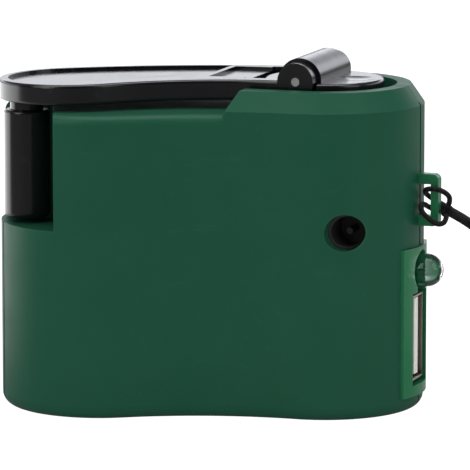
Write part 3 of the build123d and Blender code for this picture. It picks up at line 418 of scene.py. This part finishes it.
def cordBraid(name, c, lengthScale):  # a fine diagonal braid that follows the cord, its hollows painted darker as painted shade
    material, tree, shader = newMaterial(name)
    waves = []
    for slant in (1, -1):
        along = stretched(tree, placeOn(tree, "UV"), (lengthScale, slant * c["roundScale"], 1))
        waves.append(waveOf(tree, along, "DIAGONAL", c["strandScale"], c["waviness"]))
    fuzz = noiseOf(tree, placeOn(tree), scale=c["fuzzPerMetre"], detail=3.0)
    strand = timesOf(tree, largerOf(tree, *waves), c["strandShare"])
    reliefAndShade = sumOf(tree, strand, timesOf(tree, fuzz, c["fuzzShare"]))
    # painted shade in the braid's hollows; the crowns keep the cord's own colour
    tree.links.new(colourMix(tree, reliefAndShade, c["hollow"], c["crown"]), shader.inputs["Base Color"])
    rough = sumOf(tree, timesOf(tree, fuzz, c["fuzzRough"]), c["roughness"])
    tree.links.new(rough, shader.inputs["Roughness"])
    setRelief(tree, shader, reliefAndShade, c["bump"], c["reliefDepth"])
    shader.inputs["Specular IOR Level"].default_value = c["specular"]
    shader.inputs["Sheen Weight"].default_value = c["sheen"]
    shader.inputs["Sheen Roughness"].default_value = c["sheenRoughness"]
    return material


finishes = {}
for name, values in plastics.items():
    finishes[name] = mouldedPlastic(name, **values)
for name, values in metals.items():
    finishes[name] = metal(name, **values)
finishes["windingWire"] = windingWire("windingWire", winding)
finishes["boardLaminate"] = boardLaminate("boardLaminate", board)
finishes["clearEpoxy"] = clearEpoxy("clearEpoxy", lampLens)
for name, lengthScale in lengthScales.items():
    finishes[name] = cordBraid(name, braid, lengthScale)

nodeFinishes = {
    "caseGreen": ["front_shell", "rear_shell"],
    "trimGreen": ["port_bezel_front", "port_bezel_rear", "lanyard_loop"],
    "crankBlack": ["crank_hub", "crank_arm", "crank_knob"],
    "nylonWhite": ["drive_gear", "idler_gear_1", "idler_gear_2", "usb_tongue"],
    "hiddenBlack": ["gearbox_base_plate", "gearbox_top_plate", "generator_end_cap", "dc_socket",
                    "regulator_chip", "rectifier_diodes", "choke"],
    "sleeveBlue": ["smoothing_capacitor"],
    "pinEnd": ["hinge_pin"],
    "pinSteel": ["drive_shaft", "rotor_shaft", "idler_axles", "lamp_leads", "retaining_clip"],
    "shadedPin": ["dc_socket_pin"],
    "screwSteel": ["case_screws", "gearbox_screws", "knob_screw"],
    "socketTin": ["usb_socket_shell"],
    "canZinc": ["generator_can"],
    "bushBronze": ["shaft_bush", "generator_bearings", "generator_pinion"],
    "contactGold": ["usb_contacts"],
    "coreIron": ["stator_core", "rotor_magnet"],
    "windingWire": ["stator_windings"],
    "boardLaminate": ["circuit_board"],
    "clearEpoxy": ["led_lamp"],
    "cordBraid": ["lanyard_cord", "lanyard_coil", "lanyard_knots"],
    "strandTwist": ["lanyard_strands"],
}


def finishObject(piece, finish):
    piece.data.materials.clear()
    piece.data.materials.append(finishes[finish])


for finish, names in nodeFinishes.items():
    for name in names:
        finishObject(nodes[name], finish)
print("materials on", sum(len(n) for n in nodeFinishes.values()), "nodes")


# millimetres, apart from the length: the knot's place is along the lobe's axes, and so are the strands,
# counted from the case's end; the fall and the coil are in the object's own axes
lanyard = {
    "cordThickness": 1.5, "strandThickness": 0.8, "length": 0.146, "caseEnd": 15.1,
    "knot": (19.3, -0.2, 30.7), "cordInKnot": (0.3, 0, -0.1), "endKnotShift": (-0.6, 0, 0.55),
    "fall": [
        (39.4, -6.1, 28.7), (42.7, -6.4, 25.3), (44.7, -6.3, 20.3), (45.8, -6.0, 14.7), (46.8, -5.3, 9.2),
        (48.9, -4.4, 4.4), (53.2, -3.6, 0.8)],
    "coilStart": (58.5, -3.6, 0.8), "coilRadius": 10.5, "coilPitch": 2.0, "coilTurns": 2, "turnPoints": 16,
    "strandOver": [
        (4.4, -0.3, 31.2), (5.1, -0.7, 32.4), (4.5, -1.6, 33.6), (2.9, -1.75, 34.1), (1.3, -1.5, 33.9),
        (0.85, -0.2, 33.2), (1.0, 1.3, 32.4), (2.3, 1.75, 31.6), (3.8, 1.2, 31.0)],
    "strandUnder": [
        (4.4, -0.8, 30.1), (4.6, -1.7, 29.1), (3.5, -2.3, 28.7), (2.2, -2.7, 29.6), (1.2, -3.3, 30.8),
        (0.8, -2.3, 31.7), (0.95, -0.7, 31.5), (1.0, 0.9, 30.9), (2.2, 1.7, 30.2), (3.8, 0.8, 30.3)],
}
knotShape = {"points": 36, "depth": 1.15}
knots = {
    "loopKnot": {"size": 0.75, "thickness": 0.7, "turn": 0.4},
    "endKnot": {"size": 1.05, "thickness": 1.0, "turn": 0.9},
}


def coilPoints(c):  # a flat spiral that draws in by one thickness and a gap each turn
    x, y, z = c["coilStart"]
    centre = y + c["coilRadius"]
    points = []
    for n in range(1, c["coilTurns"] * c["turnPoints"] + 1):
        turned = n / c["turnPoints"]
        angle = 2 * pi * turned
        radius = c["coilRadius"] - c["coilPitch"] * turned
        points.append((x + radius * sin(angle), centre - radius * cos(angle), z))
    return points


def cordRoute(c):
    start = lobePoint(*c["knot"]) / mm + Vector(c["cordInKnot"])
    route = [start] + c["fall"] + [c["coilStart"]] + coilPoints(c)
    return [Vector(point) * mm for point in route]


def strandRoutes(c):
    routes = (c["strandOver"], c["strandUnder"])
    return [[lobePoint(c["caseEnd"] + u, v, z) for u, v, z in route] for route in routes]


def newTube(name, thickness, roundness):  # a curve with nothing on it yet
    curve = bpy.data.curves.new(name, "CURVE")
    curve.dimensions = "3D"
    curve.bevel_depth = thickness * mm / 2
    curve.bevel_resolution = roundness
    return curve


def addSpline(curve, places, order, resolution):
    spline = curve.splines.new("NURBS")
    spline.points.add(len(places) - 1)
    for point, place in zip(spline.points, places):
        point.co = (*place, 1)
    spline.order_u = order
    spline.resolution_u = resolution
    return spline


def pieceOf(curve, finish):
    piece = bpy.data.objects.new(curve.name, curve)
    scene.collection.objects.link(piece)
    finishObject(piece, finish)
    return piece


def cordCurve(name, routes, thickness, finish):
    curve = newTube(name, thickness, roundness=5)
    for route in routes:
        spline = addSpline(curve, route, order=3, resolution=8)
        spline.use_endpoint_u = True
    curve.use_fill_caps = True
    return pieceOf(curve, finish)


def knotPiece(name, centre, size, thickness, turn):  # an overhand knot pulled up, as a trefoil
    curve = newTube(name, thickness, roundness=4)
    spin = Matrix.Rotation(turn, 3, "Y")
    places = []
    for n in range(knotShape["points"]):
        t = 2 * pi * n / knotShape["points"]
        across = sin(t) + 2 * sin(2 * t)
        up = cos(t) - 2 * cos(2 * t)
        loop = Vector((across, -knotShape["depth"] * sin(3 * t), up))
        places.append(centre + spin @ loop * size * mm / 3)
    spline = addSpline(curve, places, order=4, resolution=4)
    spline.use_cyclic_u = True
    return pieceOf(curve, "strandTwist")


def makeLanyard(c):
    route = cordRoute(c)
    endPlace = route[-1] + Vector(c["endKnotShift"]) * mm
    cordPiece = cordCurve("wristCord", [route], c["cordThickness"], "cordBraid")
    strands = cordCurve("cordStrands", strandRoutes(c), c["strandThickness"], "strandTwist")
    firstKnot = knotPiece("loopKnot", lobePoint(*c["knot"]), **knots["loopKnot"])
    endKnot = knotPiece("endKnot", endPlace, **knots["endKnot"])
    for piece in (cordPiece, strands, firstKnot, endKnot):
        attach(piece, "case")
    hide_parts("lanyard_cord", "lanyard_coil")
    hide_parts("lanyard_strands")
    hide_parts("lanyard_knots")


makeLanyard(lanyard)
print("lanyard made")


white = (1, 1, 1, 1)
floorPlane = {
    "size": 3.0, "drop": 0.00005, "colour": 0.8, "roughness": 0.8, "specular": 0.1, "glow": 1.3,
    "glowShare": 0.8}
# glossy parts mirror a floor that is dark in front and brightest at the left; stretches are in metres
floorMirrored = {
    "front": 0.015, "frontToBack": (-0.03, 0.02), "right": 0.45, "left": 2.3, "rightToLeft": (-0.06, -0.14)}
# and a sky that is dark in front, with a bright band behind; stretches are parts of the direction
skyMirrored = {
    "front": 0.015, "behind": 2.2, "frontToBehind": (-0.08, 0.12), "below": 0.08, "rise": (0.07, 0.14),
    "above": 0.12, "fade": (0.27, 0.36), "tint": (0.93, 0.94, 1, 1)}
skyDiffuse = 0.62


def rayKinds(tree):  # what is seen, straight or through the lamp's lens, and every kind of ray
    rays = addNode(tree, "ShaderNodeLightPath").outputs
    return largerOf(tree, rays["Is Camera Ray"], rays["Is Transmission Ray"]), rays


def makeFloor(c, mirror):
    mesh = bpy.data.meshes.new("floor")
    builder = bmesh.new()
    bmesh.ops.create_grid(builder, x_segments=1, y_segments=1, size=c["size"])
    builder.to_mesh(mesh)
    builder.free()
    floor = bpy.data.objects.new("floor", mesh)
    floor.location.z = -c["drop"]
    scene.collection.objects.link(floor)
    material, tree, shader = newMaterial("paleFloor")
    shader.inputs["Base Color"].default_value = (c["colour"],) * 3 + (1,)
    shader.inputs["Roughness"].default_value = c["roughness"]
    shader.inputs["Specular IOR Level"].default_value = c["specular"]
    plainSeen, rays = rayKinds(tree)
    glossy = rays["Is Glossy Ray"]
    place = addNode(tree, "ShaderNodeNewGeometry")
    parts = addNode(tree, "ShaderNodeSeparateXYZ", [(0, place.outputs["Position"])]).outputs
    behind = rangeOf(tree, parts["Y"], mirror["frontToBack"], (mirror["front"], 1.0))
    atLeft = rangeOf(tree, parts["X"], mirror["rightToLeft"], (mirror["right"], mirror["left"]))
    mirrored = timesOf(tree, timesOf(tree, glossy, behind), atLeft)
    strength = timesOf(tree, sumOf(tree, plainSeen, mirrored), c["glow"])
    share = timesOf(tree, largerOf(tree, plainSeen, glossy), c["glowShare"])
    glow = addNode(tree, "ShaderNodeEmission", [("Color", white), ("Strength", strength)])
    mixed = addNode(tree, "ShaderNodeMixShader", [(0, share), (1, shader.outputs[0]), (2, glow.outputs[0])])
    tree.links.new(mixed.outputs[0], tree.nodes["Material Output"].inputs["Surface"])
    mesh.materials.append(material)


def makeWorld(mirror, diffuseLevel):
    world = bpy.data.worlds.new("studio")
    scene.world = world
    world.use_nodes = True
    tree = world.node_tree
    back = tree.nodes["Background"]
    parts = addNode(tree, "ShaderNodeSeparateXYZ", [(0, placeOn(tree, "Generated"))]).outputs
    behind = rangeOf(tree, parts["Y"], mirror["frontToBehind"], (mirror["front"], mirror["behind"]),
                     interpolation_type="SMOOTHSTEP")
    raised = rangeOf(tree, parts["Z"], mirror["rise"], (mirror["below"], 1.0))
    topped = rangeOf(tree, parts["Z"], mirror["fade"], (1.0, mirror["above"]))
    plainSeen, rays = rayKinds(tree)
    band = timesOf(tree, behind, timesOf(tree, raised, topped))
    mirrored = timesOf(tree, rays["Is Glossy Ray"], band)
    diffuse = timesOf(tree, rays["Is Diffuse Ray"], diffuseLevel)
    strength = sumOf(tree, sumOf(tree, plainSeen, mirrored), diffuse)
    tint = colourMix(tree, rays["Is Glossy Ray"], white, mirror["tint"])
    tree.links.new(strength, back.inputs["Strength"])
    tree.links.new(tint, back.inputs["Color"])


lights = {
    "keyLight": {
        "place": (-0.55, -0.5, 0.5), "aim": (0, 0, 0.025), "width": 0.5, "height": 0.7, "power": 2.2},
    "fillLight": {
        "place": (0.6, -0.35, 0.35), "aim": (0, 0, 0.025), "width": 0.4, "height": 0.6, "power": 1.1},
    "topLight": {
        "place": (0.0, 0.0, 0.6), "aim": (0, 0, 0.04), "width": 0.6, "height": 0.3, "power": 2.3},
}


def areaLight(name, place, aim, width, height, power):
    lightData = bpy.data.lights.new(name, "AREA")
    lightData.shape = "RECTANGLE"
    lightData.size = width
    lightData.size_y = height
    lightData.energy = power
    light = bpy.data.objects.new(name, lightData)
    light.location = place
    light.rotation_euler = (Vector(aim) - Vector(place)).to_track_quat("-Z", "Y").to_euler()
    scene.collection.objects.link(light)


makeFloor(floorPlane, floorMirrored)
makeWorld(skyMirrored, skyDiffuse)
for name, values in lights.items():
    areaLight(name, **values)
scene.view_settings.view_transform = "Standard"
print("studio set")
